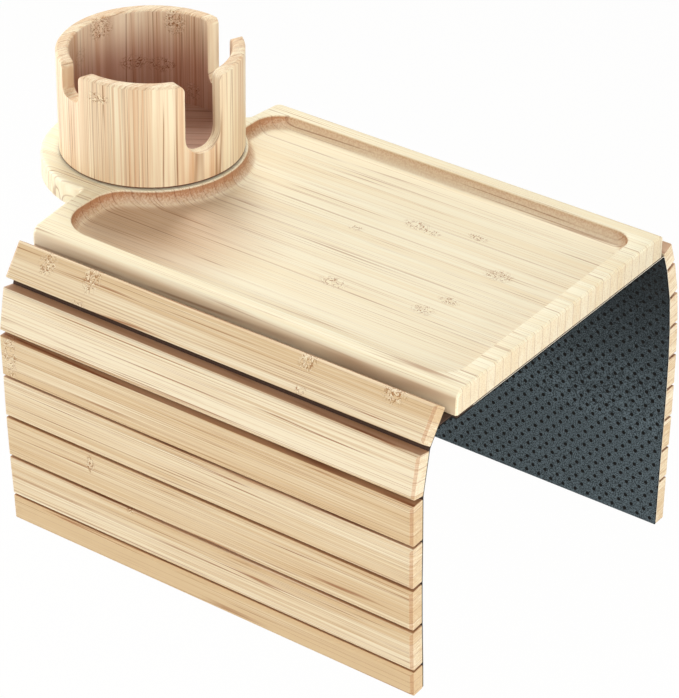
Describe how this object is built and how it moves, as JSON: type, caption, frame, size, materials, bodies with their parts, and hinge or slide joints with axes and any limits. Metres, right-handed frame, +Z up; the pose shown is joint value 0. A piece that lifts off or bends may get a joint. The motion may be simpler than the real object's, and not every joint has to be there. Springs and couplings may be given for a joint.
{
  "type": "sofa arm tray",
  "caption": "Bamboo tray with a rounded recess, a turning slotted cup holder and two slatted drapes hinged on a fabric lining, which hang over a sofa arm.",
  "frame": {"origin": "middle of the lined underside that rests on the sofa arm", "axes": "+Z up, +X along the slats away from the cup holder, +Y towards the longer drape"},
  "size_m": [0.3289, 0.2463, 0.2488],
  "materials": {
    "bamboo_board": "sanded, clear satin lacquer",
    "bamboo_cup": "turned, clear satin lacquer",
    "bamboo_slat": "sanded, clear satin lacquer",
    "lining_fabric": "felted cloth with small raised grip dots",
    "plated_steel": "zinc plated",
    "nylon": "moulded"
  },
  "bodies": {
    "tray": {"tray_board": "bamboo_board", "lining_tray": "lining_fabric", "glide_washer": "nylon", "pivot_sleeve": "plated_steel", "pivot_bolt": "plated_steel"},
    "cup": {"cup_wall": "bamboo_cup", "cup_floor": "bamboo_cup"},
    "near_1": {"near_slat_1": "bamboo_slat", "lining_near_1": "lining_fabric"},
    "near_2": {"near_slat_2": "bamboo_slat", "lining_near_2": "lining_fabric"},
    "near_3": {"near_slat_3": "bamboo_slat", "lining_near_3": "lining_fabric"},
    "near_4": {"near_slat_4": "bamboo_slat", "lining_near_4": "lining_fabric"},
    "near_5": {"near_slat_5": "bamboo_slat", "lining_near_5": "lining_fabric"},
    "near_6": {"near_slat_6": "bamboo_slat", "lining_near_6": "lining_fabric"},
    "near_7": {"near_slat_7": "bamboo_slat", "lining_near_7": "lining_fabric"},
    "far_1": {"far_slat_1": "bamboo_slat", "lining_far_1": "lining_fabric"},
    "far_2": {"far_slat_2": "bamboo_slat", "lining_far_2": "lining_fabric"},
    "far_3": {"far_slat_3": "bamboo_slat", "lining_far_3": "lining_fabric"},
    "far_4": {"far_slat_4": "bamboo_slat", "lining_far_4": "lining_fabric"},
    "far_5": {"far_slat_5": "bamboo_slat", "lining_far_5": "lining_fabric"},
    "far_6": {"far_slat_6": "bamboo_slat", "lining_far_6": "lining_fabric"},
    "far_7": {"far_slat_7": "bamboo_slat", "lining_far_7": "lining_fabric"},
    "far_8": {"far_slat_8": "bamboo_slat", "lining_far_8": "lining_fabric"},
    "far_9": {"far_slat_9": "bamboo_slat", "lining_far_9": "lining_fabric"}
  },
  "joints": [
    {"name": "cup_turn", "type": "hinge", "parent": "tray", "child": "cup", "pos_m": [-0.1374, 0.0124, 0.01605], "axis": [0, 0, 1], "continuous": true},
    {"name": "near_fold_1", "type": "hinge", "parent": "tray", "child": "near_1", "pos_m": [0, -0.10515, 0], "axis": [1, 0, 0], "range_deg": [-54.3, 40.7]},
    {"name": "near_fold_2", "type": "hinge", "parent": "near_1", "child": "near_2", "pos_m": [0, -0.11122, -0.00845], "axis": [1, 0, 0], "range_deg": [-31.7, 6.3]},
    {"name": "near_fold_3", "type": "hinge", "parent": "near_2", "child": "near_3", "pos_m": [0, -0.11561, -0.03336], "axis": [1, 0, 0], "range_deg": [-18.1, 9.9]},
    {"name": "near_fold_4", "type": "hinge", "parent": "near_3", "child": "near_4", "pos_m": [0, -0.11468, -0.05864], "axis": [1, 0, 0], "range_deg": [-5.5, 22.5]},
    {"name": "near_fold_5", "type": "hinge", "parent": "near_4", "child": "near_5", "pos_m": [0, -0.11398, -0.08393], "axis": [1, 0, 0], "range_deg": [-7.2, 20.8]},
    {"name": "near_fold_6", "type": "hinge", "parent": "near_5", "child": "near_6", "pos_m": [0, -0.11274, -0.1092], "axis": [1, 0, 0], "range_deg": [-7, 21]},
    {"name": "near_fold_7", "type": "hinge", "parent": "near_6", "child": "near_7", "pos_m": [0, -0.11107, -0.13445], "axis": [1, 0, 0], "range_deg": [-5.2, 22.8]},
    {"name": "far_fold_1", "type": "hinge", "parent": "tray", "child": "far_1", "pos_m": [0, 0.09665, 0], "axis": [-1, 0, 0], "range_deg": [-68.2, 26.8]},
    {"name": "far_fold_2", "type": "hinge", "parent": "far_1", "child": "far_2", "pos_m": [0, 0.10088, -0.01059], "axis": [-1, 0, 0], "range_deg": [-12.6, 5.4]},
    {"name": "far_fold_3", "type": "hinge", "parent": "far_2", "child": "far_3", "pos_m": [0, 0.10602, -0.0295], "axis": [-1, 0, 0], "range_deg": [-13.8, 4.2]},
    {"name": "far_fold_4", "type": "hinge", "parent": "far_3", "child": "far_4", "pos_m": [0, 0.10855, -0.04894], "axis": [-1, 0, 0], "range_deg": [-9.3, 8.7]},
    {"name": "far_fold_5", "type": "hinge", "parent": "far_4", "child": "far_5", "pos_m": [0, 0.10995, -0.06849], "axis": [-1, 0, 0], "range_deg": [-8.9, 9.1]},
    {"name": "far_fold_6", "type": "hinge", "parent": "far_5", "child": "far_6", "pos_m": [0, 0.11036, -0.08808], "axis": [-1, 0, 0], "range_deg": [-7.2, 10.8]},
    {"name": "far_fold_7", "type": "hinge", "parent": "far_6", "child": "far_7", "pos_m": [0, 0.11036, -0.10768], "axis": [-1, 0, 0], "range_deg": [-7, 11]},
    {"name": "far_fold_8", "type": "hinge", "parent": "far_7", "child": "far_8", "pos_m": [0, 0.11002, -0.12728], "axis": [-1, 0, 0], "range_deg": [-5.3, 12.7]},
    {"name": "far_fold_9", "type": "hinge", "parent": "far_8", "child": "far_9", "pos_m": [0, 0.10991, -0.14688], "axis": [-1, 0, 0], "range_deg": [-5.8, 12.2]}
  ]
}
